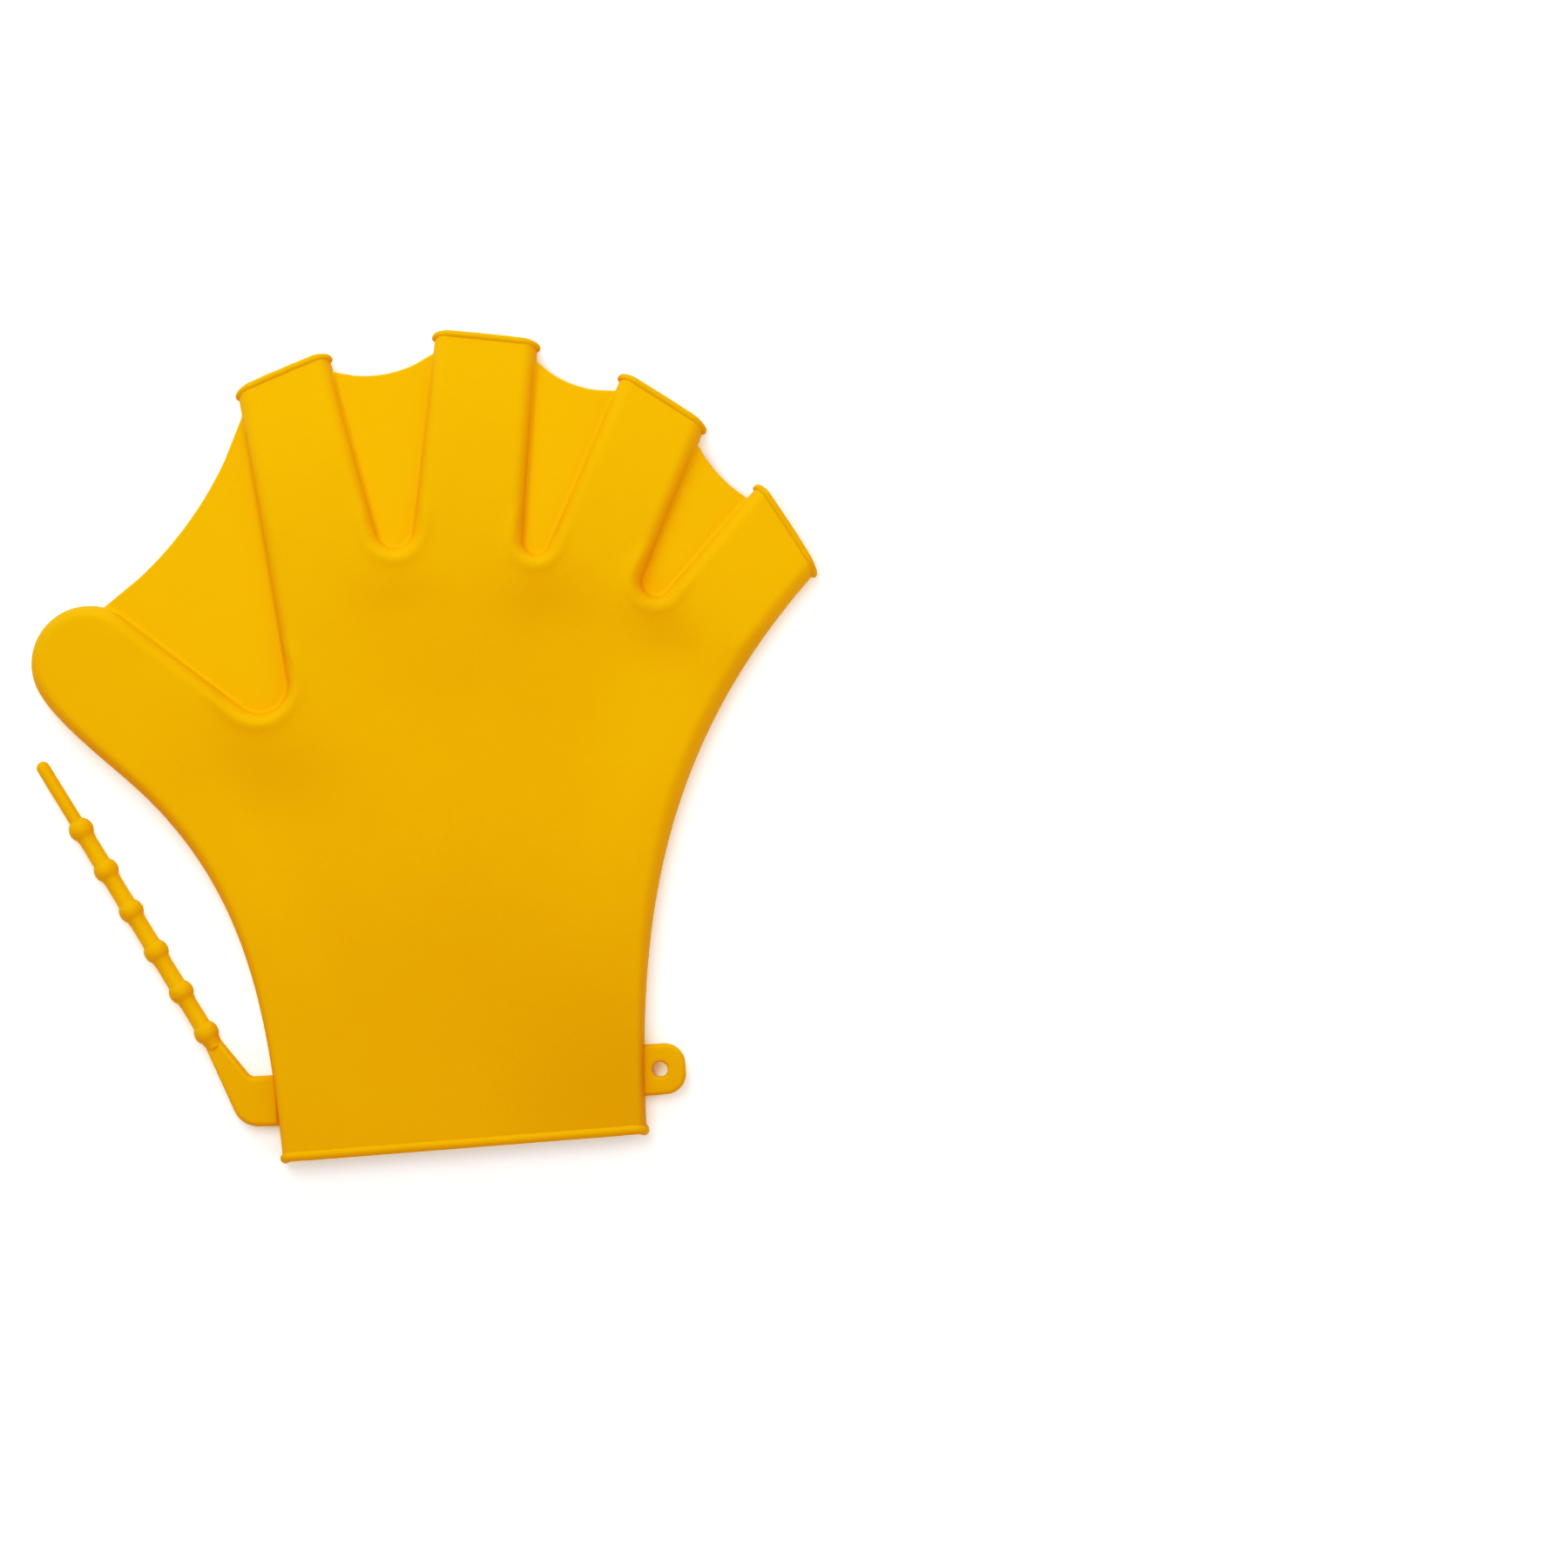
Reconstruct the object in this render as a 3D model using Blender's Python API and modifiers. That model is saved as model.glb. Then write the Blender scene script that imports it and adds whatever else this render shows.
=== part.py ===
# Webbed swim glove: one silicone moulding that lies flat, with its fingers towards +Y.
# The wrist edge is parallel to X. The underside is flat, and the hand is a little deeper at the
# knuckles and fingers than at the cuff, so its middle height rises from the cuff to the knuckles.
# The hand's outline is one loop of straight finger edges, arcs and smooth side runs. The skin
# is that loop rounded up and down to half the depth, hollowed, and cut into its regions.
import math
from collections import namedtuple

import bmesh
import bpy
from mathutils import Matrix, Vector

# Driving sizes, in metres
CUFF_WIDTH = 0.0954          # flat width of the wrist opening
CUFF_LENGTH = 0.0450         # wrist edge to where the palm begins
PALM_WIDTH = 0.1000          # what the finger roots are placed by, across
PALM_LENGTH = 0.1570         # wrist edge to the root of the middle finger
STALL_REACH = 0.0523         # root of the middle finger to its opening
STALL_WIDTH = 0.0269         # flat width of the middle finger at its opening
HALF_DEPTH = 0.0052          # half the hand's depth from the knuckles to the finger ends
CUFF_HALF_DEPTH = 0.0046     # the same at the wrist
SKIN = 0.0012                # wall of the hollow hand part
WEB_THICKNESS = 0.0016
RIM_DIAMETER = 0.0019        # bead round a finger opening
CUFF_RIM_DIAMETER = 0.0027   # bead round the wrist opening
LIP = 0.0016                 # how far a finger opening's lips reach past its side corners
CUFF_LIP = -0.0008           # the same at the wrist, where the lips are set back
STRAP_THICKNESS = 0.0034     # strap arm
TAB_THICKNESS = 0.0030
TAB_WIDTH = 0.0134
TAB_END_WIDTH = 0.0130
TAB_CENTRE = 0.0157          # wrist edge to the middle of the tab
HOLE_DIAMETER = 0.0045
HOLE_OUT = 0.0048            # side of the cuff to the hole's centre
ARM_WIDTH = 0.0134           # strap arm where it leaves the cuff
ARM_CENTRE = 0.0154          # wrist edge to the middle of the strap arm
ROD_DIAMETER = 0.0041        # strap between its beads
BEAD_DIAMETER = 0.0061
BEAD_PITCH = 0.0124
TAIL_LENGTH = 0.0200         # last bead's centre to the tip
TAIL_DIAMETER = 0.0031
PIECE_GAP = 0.0003           # clearance between neighbouring pieces

BEADS = 6
STRAP_LEAN = -27.35          # degrees from +Y, towards +X
BEAD_CLEARANCE = 0.0002      # last bead's underside to the surface that the glove lies on
EDGE_ROUND = 0.0009          # soft edge of the tab and the strap arm
CROTCH_RADIUS = 0.0035       # rounding between two fingers, scaled by the table of webs

# Fineness of the curved faces
ROUND_RINGS = 4
ARC_STEP = 20.0
SIDE_STEPS = 9
TOP_GRID = 0.0130
STRAP_SIDES = 12
RIM_END_STEPS = 7

# Digits: root centre as shares of the palm's width and length, lean in degrees from +Y towards +X,
# reach as a share of STALL_REACH, flat widths as shares of STALL_WIDTH, slant of the end in degrees
Digit = namedtuple("Digit", "name across along lean reach root_width end_width slant")
DIGITS = (
    Digit("thumb", -0.597, 0.675, -46.1, 0.750, 1.240, 1.130, 0.0),
    Digit("index", -0.250, 1.019, -8.3, 0.843, 1.110, 0.945, 10.1),
    Digit("middle", 0.132, 1.000, 9.7, 1.000, 1.090, 1.000, -0.4),
    Digit("ring", 0.455, 0.943, 27.3, 0.880, 0.980, 0.940, -9.3),
    Digit("little", 0.711, 0.813, 44.0, 0.688, 1.040, 0.970, -16.8),
)
TIP_SWEEP = 159.0            # degrees of round thumb tip

# Webs: radius as a share of CROTCH_RADIUS, ends as shares of the finger edges that they join,
# sag of the free edge as a share of its span
Web = namedtuple("Web", "name left right radius left_end right_end sag")
WEBS = (
    Web("thumb_index_web", "thumb", "index", 2.09, 1.17, 0.880, 0.078),
    Web("index_middle_web", "index", "middle", 1.31, 0.925, 0.925, 0.110),
    Web("middle_ring_web", "middle", "ring", 0.92, 0.935, 0.930, 0.100),
    Web("ring_little_web", "ring", "little", 1.00, 0.910, 0.910, 0.060),
)

# Side runs: points as shares of the palm's width and length, lean in degrees
Knot = namedtuple("Knot", "across along lean")
FLANK = Knot(-0.795, 0.643, -44.0)
CUFF_LEAN = 1.5              # how far each side leans out at the wrist
DEEP_FROM = 0.70             # where the hand has its full depth, as a share of the palm's length
LITTLE_SIDE_LEAN = 46.0      # lean of the right side where it leaves the little finger
LEFT_HANDLE = 0.405          # handle of a side run as a share of its span, wrist to flank
THUMB_HANDLE = 0.27          # the same from the flank to the thumb's tip
RIGHT_HANDLE = 0.380         # the same from the wrist to the little finger's opening

# Strap arm: distance out from the cuff and up from its middle, and corner radius, in ARM_WIDTHs
ArmPoint = namedtuple("ArmPoint", "out up radius")
ARM_INNER_CORNER = ArmPoint(0.51, 0.51, 0.15)
ARM_OUTER_CORNER = ArmPoint(0.765, -0.465, 0.52)
FIRST_BEAD = ArmPoint(1.310, 1.43, 0.0)
ARM_END = 1.35               # first bead's centre to the arm's end, in rod diameters

# Room that the cutting blocks and the closed ends of the outline take past the pieces
CAP = 2 * HALF_DEPTH
ZONE_MARGIN = 0.35           # side margin of a finger's block, as a share of STALL_WIDTH
ZONE_TOP = 2 * HALF_DEPTH + 0.005
ZONE_BOTTOM = -0.005
ROOT_INSIDE = 0.006          # how far tab, arm and webs start inside the hand before trimming

Corners = namedtuple("Corners", "row root end axis mouth root_left root_right end_left end_right")


def heading(lean):
    """Unit vector that leans the given degrees from +Y towards +X."""
    angle = math.radians(lean)
    return Vector((math.sin(angle), math.cos(angle)))


def turned(vector, degrees):
    """The vector turned counterclockwise."""
    return Matrix.Rotation(math.radians(degrees), 2) @ vector


def arc(centre, start, sweep):
    """Points of an arc from start, counterclockwise for a positive sweep in degrees."""
    steps = max(3, round(abs(sweep) / ARC_STEP))
    return [centre + turned(start - centre, sweep * k / steps) for k in range(steps + 1)]


def run(start, start_lean, end, end_lean, handle, steps):
    """Smooth run between two points that leaves and arrives at the given leans."""
    reach = (end - start).length * handle
    a = start + heading(start_lean) * reach
    b = end - heading(end_lean) * reach
    points = []
    for k in range(steps + 1):
        t = k / steps
        u = 1 - t
        points.append(start * u ** 3 + a * 3 * u * u * t + b * 3 * u * t * t + end * t ** 3)
    return points


def crossing(p, along_p, q, along_q):
    """Where two lines meet."""
    t = (q - p).cross(along_q) / along_p.cross(along_q)
    return p + along_p * t


def fillet_centre(p, corner, q, radius):
    """Centre of the arc that rounds the corner between the points p and q."""
    to_p = (p - corner).normalized()
    to_q = (q - corner).normalized()
    return corner + (to_p + to_q).normalized() * radius / math.sin(to_p.angle(to_q) / 2)


def fillet(p, corner, q, radius):
    """Arc that rounds the corner between the points p and q, as points from p's side to q's."""
    centre = fillet_centre(p, corner, q, radius)
    half = (p - corner).angle(q - corner) / 2
    start = corner + (p - corner).normalized() * radius / math.tan(half)
    side = 1 if (start - centre).cross(corner - centre) > 0 else -1
    return arc(centre, start, side * (180 - 2 * math.degrees(half)))


def digit_corners(row):
    """The four corners of a digit's flat outline, its axis and the direction of its opening."""
    axis = heading(row.lean)
    across = heading(row.lean + 90)
    mouth = heading(row.lean + 90 - row.slant)
    root = Vector((row.across * PALM_WIDTH, row.along * PALM_LENGTH))
    end = root + axis * row.reach * STALL_REACH
    root_half = row.root_width * STALL_WIDTH / 2
    end_half = row.end_width * STALL_WIDTH / 2 / math.cos(math.radians(row.slant))
    return Corners(row, root, end, axis, mouth, root - across * root_half,
                   root + across * root_half, end - mouth * end_half, end + mouth * end_half)


def crotch(web, digits):
    """Corner between two digits, with the points that its edges run towards."""
    left = digits[web.left]
    right = digits[web.right]
    corner = crossing(left.root_right, left.end_right - left.root_right,
                      right.root_left, right.end_left - right.root_left)
    return left.end_right, corner, right.end_left


def hand_outline(digits):
    """Closed outline of the hollow hand part, run on past its openings, counterclockwise."""
    thumb = digits["thumb"]
    little = digits["little"]
    cuff_half = CUFF_WIDTH / 2
    tip_start = thumb.end + turned(thumb.end_right - thumb.end, TIP_SWEEP)
    flank = Vector((FLANK.across * PALM_WIDTH, FLANK.along * PALM_LENGTH))

    points = [Vector((cuff_half, -CAP)), Vector((-cuff_half, -CAP))]
    points += run(Vector((-cuff_half, 0)), -CUFF_LEAN, flank, FLANK.lean, LEFT_HANDLE, SIDE_STEPS)
    points += run(flank, FLANK.lean, tip_start, thumb.row.lean + 180 - TIP_SWEEP,
                  THUMB_HANDLE, SIDE_STEPS // 2)[1:]
    points += arc(thumb.end, tip_start, -TIP_SWEEP)[1:]
    for web in WEBS:
        digit = digits[web.right]
        points += fillet(*crotch(web, digits), web.radius * CROTCH_RADIUS)
        points += [digit.end_left, digit.end_left + digit.axis * CAP,
                   digit.end_right + digit.axis * CAP]
        if digit is not little:
            points.append(digit.end_right)
    points += reversed(run(Vector((cuff_half, 0)), CUFF_LEAN, little.end_right, LITTLE_SIDE_LEAN,
                           RIGHT_HANDLE, SIDE_STEPS + 3))
    points.reverse()
    return points


def grown(points, distance):
    """A counterclockwise outline moved outwards by a distance."""
    count = len(points)
    result = []
    for k, point in enumerate(points):
        before = (point - points[k - 1]).normalized()
        after = (points[(k + 1) % count] - point).normalized()
        out = (before + after).normalized()
        out = Vector((out.y, -out.x))
        result.append(point + out * distance / out.dot(Vector((after.y, -after.x))))
    return result


def half_depth(y):
    """Half the hand's depth: shallow over the cuff, full from the knuckles on."""
    start = CUFF_LENGTH / 2
    share = min(1.0, max(0.0, (y - start) / (DEEP_FROM * PALM_LENGTH - start)))
    return CUFF_HALF_DEPTH + (HALF_DEPTH - CUFF_HALF_DEPTH) * share * share * (3 - 2 * share)


def side_height(y, inset):
    """Height of the rounded side above its middle line, at a distance in from the outline."""
    depth = half_depth(y)
    return depth * math.sqrt(1 - max(0.0, 1 - inset / depth) ** 2)


def hand_surface(outline):
    """The closed outer surface of the hand, rounded at its edge, with a flat underside."""
    bm = bmesh.new()
    plateau = bm.faces.new([bm.verts.new((p.x, p.y, 0)) for p in outline])
    inwards = 0.0
    for k in range(1, ROUND_RINGS + 1):
        # Each ring starts as high as it is far in, and gets its real height below
        inset = HALF_DEPTH * (1 - math.cos(math.pi / 2 * k / ROUND_RINGS))
        bmesh.ops.inset_region(bm, faces=[plateau], use_boundary=True, use_even_offset=True,
                               thickness=inset - inwards)
        bmesh.ops.translate(bm, vec=(0, 0, inset - inwards), verts=plateau.verts)
        inwards = inset
    bmesh.ops.mirror(bm, geom=bm.verts[:] + bm.edges[:] + bm.faces[:], axis='Z')
    bmesh.ops.remove_doubles(bm, verts=bm.verts[:], dist=1e-6)
    bmesh.ops.recalc_face_normals(bm, faces=bm.faces[:])

    for axis in range(2):
        normal = Vector((axis == 0, axis == 1, 0))
        values = [v.co[axis] for v in bm.verts]
        for k in range(math.ceil(min(values) / TOP_GRID), math.ceil(max(values) / TOP_GRID)):
            top = [f for f in bm.faces if all(v.co.z > HALF_DEPTH - 1e-6 for v in f.verts)]
            geom = top + list({e for f in top for e in f.edges}) + list({v for f in top for v in f.verts})
            bmesh.ops.bisect_plane(bm, geom=geom, dist=1e-6, plane_co=normal * k * TOP_GRID,
                                   plane_no=normal)
    bmesh.ops.triangulate(bm, faces=bm.faces[:])
    for v in bm.verts:
        height = side_height(v.co.y, abs(v.co.z))
        v.co.z = half_depth(v.co.y) + math.copysign(height, v.co.z)
    mesh = bpy.data.meshes.new("hand_surface")
    bm.to_mesh(mesh)
    bm.free()
    return mesh


def silicone(name, colour, roughness):
    """Plain moulded silicone."""
    material = bpy.data.materials.new(name)
    material.use_nodes = True
    shader = material.node_tree.nodes["Principled BSDF"]
    shader.inputs["Base Color"].default_value = (*colour, 1)
    shader.inputs["Roughness"].default_value = roughness
    shader.inputs["Metallic"].default_value = 0.0
    return material


def add_part(name, mesh, glove, colour=(0.880, 0.470, 0.003), roughness=0.55):
    """A named piece of the glove with its own material, carried by the empty at the origin."""
    part = bpy.data.objects.new(name, mesh)
    mesh.materials.clear()
    mesh.materials.append(silicone(name + "_silicone", colour, roughness))
    glove["parts"].objects.link(part)
    part.parent = glove["carrier"]
    return part


def block(name, points, glove, lip=0.0, lip_points=(), outwards=None, depth=HALF_DEPTH):
    """Upright cutting block. Its lip points lie further out the further they are off the middle
    of an opening of that half depth."""
    bm = bmesh.new()
    base = bm.faces.new([bm.verts.new((p.x, p.y, ZONE_BOTTOM)) for p in points])
    raised = bmesh.ops.extrude_face_region(bm, geom=[base])["geom"]
    bmesh.ops.translate(bm, vec=(0, 0, ZONE_TOP - ZONE_BOTTOM),
                        verts=[g for g in raised if isinstance(g, bmesh.types.BMVert)])
    bmesh.ops.bisect_plane(bm, geom=bm.verts[:] + bm.edges[:] + bm.faces[:], dist=1e-6,
                           plane_co=(0, 0, depth), plane_no=(0, 0, 1))
    for v in bm.verts:
        if any((v.co.xy - p).length < 1e-6 for p in lip_points):
            v.co.xy += outwards * lip * abs(v.co.z - depth) / (depth - SKIN / 2)
    bmesh.ops.recalc_face_normals(bm, faces=bm.faces[:])
    mesh = bpy.data.meshes.new(name)
    bm.to_mesh(mesh)
    bm.free()
    cutter = bpy.data.objects.new(name, mesh)
    cutter.hide_render = True
    cutter.display_type = 'WIRE'
    glove["cutters"].objects.link(cutter)
    cutter.parent = glove["carrier"]
    return cutter


def boolean(part, cutter, operation, solver='EXACT'):
    modifier = part.modifiers.new(cutter.name, 'BOOLEAN')
    modifier.operation = operation
    modifier.object = cutter
    modifier.solver = solver


def skin_region(name, surface, zone, glove):
    """One region of the hollow skin: the surface with its wall, kept inside a zone."""
    part = add_part(name, surface.copy(), glove)
    wall = part.modifiers.new("wall", 'SOLIDIFY')
    wall.thickness = SKIN
    wall.offset = -1
    wall.use_even_offset = True
    boolean(part, zone, 'INTERSECT', 'MANIFOLD')
    return part


def root_line(name, digits):
    """Ends of the line that parts a digit from the palm, at the bottoms of its neighbouring webs."""
    digit = digits[name]
    across = heading(digit.row.lean + 90)
    margin = ZONE_MARGIN * STALL_WIDTH
    width = digit.row.root_width * STALL_WIDTH
    centres = {}
    for web in WEBS:
        centre = fillet_centre(*crotch(web, digits), web.radius * CROTCH_RADIUS)
        centres[web.left, "right"] = centre
        centres[web.right, "left"] = centre
    left = centres.get((name, "left"))
    right = centres.get((name, "right"))
    if name == "index" or left is None:
        left = right - across * (width + 2 * margin)
    if right is None:
        right = left + across * (width + 2 * margin)
    return left, right


def stall_zone(name, digits, glove):
    """Block round one digit, from its root line to its opening or past its closed tip."""
    digit = digits[name]
    left, right = (p + digit.axis * PIECE_GAP for p in root_line(name, digits))
    margin = ZONE_MARGIN * STALL_WIDTH
    if name == "thumb":
        step = digit.axis * ((digit.end_right - digit.end).length + margin)
    else:
        step = -digit.axis * (RIM_DIAMETER / 2 + PIECE_GAP) / math.cos(math.radians(digit.row.slant))
    far_left = digit.end_left + step - digit.mouth * margin
    far_right = digit.end_right + step + digit.mouth * margin
    return block(name + "_zone", [left, right, far_right, far_left], glove, LIP,
                 [far_left, far_right], digit.axis)


def cuff_zone(glove):
    """Block round the wrist, from its opening to the palm."""
    wrist = CUFF_RIM_DIAMETER / 2 + PIECE_GAP
    wrist_edge = [Vector((-CUFF_WIDTH, wrist)), Vector((CUFF_WIDTH, wrist))]
    points = wrist_edge + [Vector((CUFF_WIDTH, CUFF_LENGTH)), Vector((-CUFF_WIDTH, CUFF_LENGTH))]
    return block("cuff_zone", points, glove, CUFF_LIP, wrist_edge, Vector((0, -1)), CUFF_HALF_DEPTH)


def palm_zone(digits, glove):
    """Block round the palm, from the cuff to the root lines."""
    start = CUFF_LENGTH + PIECE_GAP
    thumb_left, thumb_right = root_line("thumb", digits)
    index_left, index_right = root_line("index", digits)
    middle_left, middle_right = root_line("middle", digits)
    little_left, little_right = root_line("little", digits)
    points = [Vector((thumb_left.x, start)), Vector((little_right.x, start)), little_right,
              little_left, middle_right, index_right, index_left, thumb_right, thumb_left]
    return block("palm_zone", points, glove)


def rim(name, centre, mouth, outwards, half_width, stretch, depth, lip, diameter, glove):
    """Bead round an opening: a closed wire along the wall's edge, flush with its underside."""
    round_half = (depth - SKIN / 2) * stretch
    straight = half_width - SKIN / 2 * stretch - round_half
    curve = bpy.data.curves.new(name, 'CURVE')
    curve.dimensions = '3D'
    curve.bevel_depth = diameter / 2
    curve.bevel_resolution = 2
    points = []
    for side in (1, -1):
        for k in range(RIM_END_STEPS + 1):
            angle = math.pi * (0.5 - k / RIM_END_STEPS)
            place = centre + mouth * side * (straight + round_half * math.cos(angle))
            place += outwards * lip * abs(math.sin(angle))
            up = side * math.sin(angle)
            height = depth - (SKIN if up > 0 else diameter) / 2
            points.append((*place, depth + up * height))
    spline = curve.splines.new('POLY')
    spline.points.add(len(points) - 1)
    for place, point in zip(spline.points, points):
        place.co = (*point, 1)
    spline.use_cyclic_u = True
    return add_curve_part(name, curve, glove)


def add_curve_part(name, curve, glove):
    """A curve made a mesh piece, with its loose caps welded."""
    source = bpy.data.objects.new(name + "_curve", curve)
    glove["parts"].objects.link(source)
    bpy.context.view_layer.update()
    evaluated = source.evaluated_get(bpy.context.evaluated_depsgraph_get())
    mesh = bpy.data.meshes.new_from_object(evaluated)
    bpy.data.objects.remove(source)
    bm = bmesh.new()
    bm.from_mesh(mesh)
    bmesh.ops.remove_doubles(bm, verts=bm.verts[:], dist=1e-6)
    bmesh.ops.recalc_face_normals(bm, faces=bm.faces[:])
    bm.to_mesh(mesh)
    bm.free()
    part = add_part(name, mesh, glove)
    mesh.shade_smooth()
    mesh.set_sharp_from_angle(angle=math.radians(50))
    return part


def plate(name, outlines, thickness, middle, glove):
    """Flat piece at a middle height: the first outline, with the others as holes."""
    curve = bpy.data.curves.new(name, 'CURVE')
    curve.dimensions = '2D'
    curve.fill_mode = 'BOTH'
    curve.extrude = thickness / 2
    for outline in outlines:
        spline = curve.splines.new('POLY')
        spline.points.add(len(outline) - 1)
        for place, point in zip(spline.points, outline):
            place.co = (point.x, point.y, 0, 1)
        spline.use_cyclic_u = True
    part = add_curve_part(name, curve, glove)
    part.location.z = middle
    return part


def add_web(web, digits, clearance, glove):
    """Thin web between two digits, with a hollow free edge, trimmed to the hand's outline."""
    left = digits[web.left]
    right = digits[web.right]
    start = left.root_right.lerp(left.end_right, web.left_end)
    end = right.root_left.lerp(right.end_left, web.right_end)
    if web.left == "thumb":
        past = (start - left.end_right).length
        start = left.end + turned(left.end_right - left.end,
                                  math.degrees(past / (left.end_right - left.end).length))
    along = (end - start).normalized()
    down = Vector((along.y, -along.x))
    middle = start.lerp(end, 0.5) + down * 2 * web.sag * (end - start).length
    steps = SIDE_STEPS
    free_edge = []
    for k in range(steps + 1):
        t = k / steps
        free_edge.append(start * (1 - t) ** 2 + middle * 2 * t * (1 - t) + end * t * t)
    corner = crotch(web, digits)[1]
    first = start + (start - free_edge[1]).normalized() * ROOT_INSIDE
    last = end + (end - free_edge[-2]).normalized() * ROOT_INSIDE
    inside = (corner - start.lerp(end, 0.5)).normalized() * ROOT_INSIDE
    outline = [corner + inside, last, *reversed(free_edge), first]
    part = plate(web.name, [outline], WEB_THICKNESS, HALF_DEPTH, glove)
    boolean(part, clearance, 'DIFFERENCE')
    return part


def soften(part):
    """Small round on the long edges of a flat piece."""
    edge = part.modifiers.new("soft_edge", 'BEVEL')
    edge.width = EDGE_ROUND
    edge.segments = 2
    edge.limit_method = 'ANGLE'
    edge.angle_limit = math.radians(60)


def add_tab(clearance, glove):
    """Tab beside the wrist with a round hole for the strap."""
    side = CUFF_WIDTH / 2
    hole = Vector((side + HOLE_OUT, TAB_CENTRE))
    end_half = TAB_END_WIDTH / 2
    outline = [Vector((side - ROOT_INSIDE, TAB_CENTRE + TAB_WIDTH / 2)),
               Vector((side - ROOT_INSIDE, TAB_CENTRE - TAB_WIDTH / 2)),
               Vector((side, TAB_CENTRE - TAB_WIDTH / 2))]
    outline += arc(hole, hole + Vector((0, -end_half)), 180)
    outline.append(Vector((side, TAB_CENTRE + TAB_WIDTH / 2)))
    bore = arc(hole, hole + Vector((HOLE_DIAMETER / 2, 0)), 360)[:-1]
    part = plate("eyelet_tab", [outline, bore], TAB_THICKNESS, CUFF_HALF_DEPTH, glove)
    soften(part)
    boolean(part, clearance, 'DIFFERENCE')
    return part


def arm_place(point):
    """Where a point of the strap arm's table lies."""
    return Vector((-CUFF_WIDTH / 2 - point.out * ARM_WIDTH, ARM_CENTRE + point.up * ARM_WIDTH))


def add_strap_arm(clearance, glove):
    """Flat arm that leaves the cuff sideways, turns and narrows to the strap."""
    axis = heading(STRAP_LEAN)
    across = heading(STRAP_LEAN + 90)
    end = arm_place(FIRST_BEAD) - axis * ARM_END * ROD_DIAMETER
    end_left = end - across * ROD_DIAMETER / 2
    end_right = end + across * ROD_DIAMETER / 2
    inside = -ROOT_INSIDE / ARM_WIDTH
    root_low = arm_place(ArmPoint(inside, -0.5, 0))
    root_high = arm_place(ArmPoint(inside, 0.5, 0))
    outline = [root_low, root_high]
    outline += fillet(root_high, arm_place(ARM_INNER_CORNER), end_right,
                      ARM_INNER_CORNER.radius * ARM_WIDTH)
    outline += [end_right, end_left]
    outline += fillet(end_left, arm_place(ARM_OUTER_CORNER), root_low,
                      ARM_OUTER_CORNER.radius * ARM_WIDTH)
    part = plate("strap_arm", [outline], STRAP_THICKNESS, CUFF_HALF_DEPTH, glove)
    soften(part)
    boolean(part, clearance, 'DIFFERENCE')
    return part


def strap_profile():
    """Half profile of the strap from its tip down to its base, as radius and height."""
    first = ARM_END * ROD_DIAMETER - PIECE_GAP
    last = first + (BEADS - 1) * BEAD_PITCH
    tail = TAIL_DIAMETER / 2
    top = last + TAIL_LENGTH
    ball = BEAD_DIAMETER / 2
    rod = ROD_DIAMETER / 2
    profile = [(tail * math.sin(math.radians(a)), top - tail + tail * math.cos(math.radians(a)))
               for a in (0, 30, 60, 90)]
    neck = math.degrees(math.acos(rod / ball))
    for k in reversed(range(BEADS)):
        height = first + k * BEAD_PITCH
        for share in (1, 0.5, 0, -0.5, -1):
            angle = math.radians(neck * share)
            profile.append((ball * math.cos(angle), height + ball * math.sin(angle)))
    return profile + [(rod, 0), (0, 0)]


def add_strap(glove):
    """Beaded strap with a plain tail, turned about its axis and sloping down to the surface."""
    bm = bmesh.new()
    verts = [bm.verts.new((radius, 0, height)) for radius, height in strap_profile()]
    for a, b in zip(verts, verts[1:]):
        bm.edges.new((a, b))
    mesh = bpy.data.meshes.new("bead_strap")
    bm.to_mesh(mesh)
    bm.free()
    part = add_part("bead_strap", mesh, glove)
    turn = part.modifiers.new("turn", 'SCREW')
    turn.steps = STRAP_SIDES
    turn.render_steps = STRAP_SIDES
    turn.use_merge_vertices = True
    turn.merge_threshold = 1e-6

    flat = heading(STRAP_LEAN)
    first = ARM_END * ROD_DIAMETER
    base = arm_place(FIRST_BEAD) - flat * (first - PIECE_GAP)
    drop = CUFF_HALF_DEPTH - BEAD_DIAMETER / 2 - BEAD_CLEARANCE
    length = first + (BEADS - 1) * BEAD_PITCH
    direction = Vector((flat.x * length, flat.y * length, -drop)).normalized()
    part.matrix_world = (Matrix.Translation((base.x, base.y, CUFF_HALF_DEPTH))
                         @ direction.to_track_quat('Z', 'Y').to_matrix().to_4x4())
    return part


def centre_on_origin(glove):
    """Moves the carrier so that the middle of the whole glove's box stands over the origin."""
    bpy.context.view_layer.update()
    depsgraph = bpy.context.evaluated_depsgraph_get()
    corners = []
    for part in glove["parts"].objects:
        evaluated = part.evaluated_get(depsgraph)
        corners += [evaluated.matrix_world @ v.co for v in evaluated.data.vertices]
    for axis in range(2):
        values = [c[axis] for c in corners]
        glove["carrier"].location[axis] = -(min(values) + max(values)) / 2


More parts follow.
